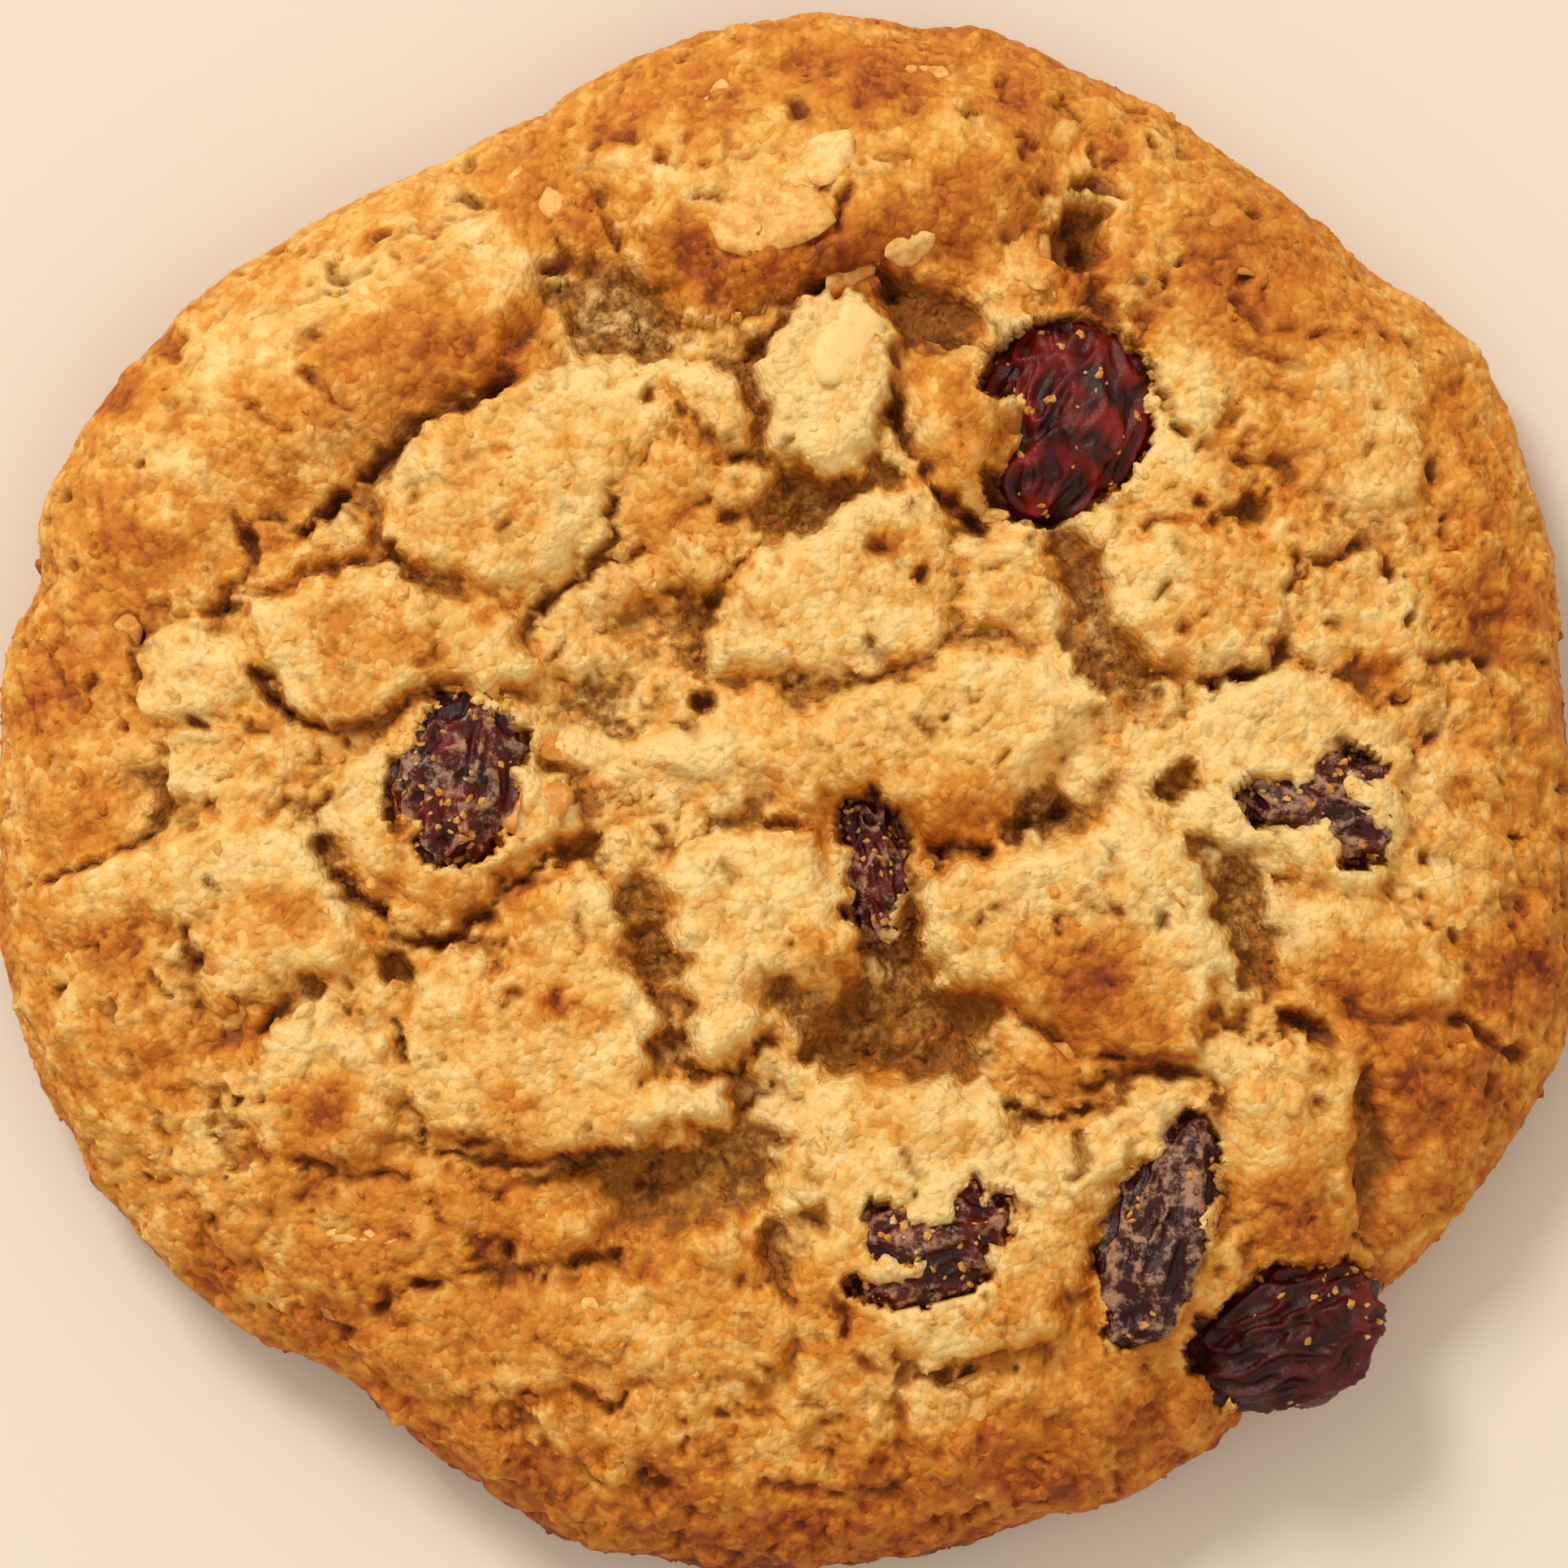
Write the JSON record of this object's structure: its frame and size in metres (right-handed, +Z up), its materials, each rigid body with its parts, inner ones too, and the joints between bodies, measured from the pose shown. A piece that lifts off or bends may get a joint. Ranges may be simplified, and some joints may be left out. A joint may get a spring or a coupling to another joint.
{
  "type": "oatmeal raisin cookie",
  "caption": "Round oatmeal raisin cookie with a lumpy domed top, raisins set in it, a rounded edge and a flat base.",
  "frame": {"origin": "middle of the flat base, on the surface the cookie rests on", "axes": "+Z up through the cookie, +Y towards the broad browned lump at the far rim, +X to the right of it"},
  "size_m": [0.0788, 0.0772, 0.0141],
  "materials": {
    "dough": "matt baked crumb, golden with browner rim and lumps",
    "raisin": "wrinkled dark skin with a soft shine"
  },
  "bodies": {
    "root": {"cookie_dough": "dough", "raisin_1": "raisin", "raisin_2": "raisin", "raisin_3": "raisin", "raisin_4": "raisin", "raisin_5": "raisin", "raisin_6": "raisin", "raisin_7": "raisin"}
  },
  "joints": []
}
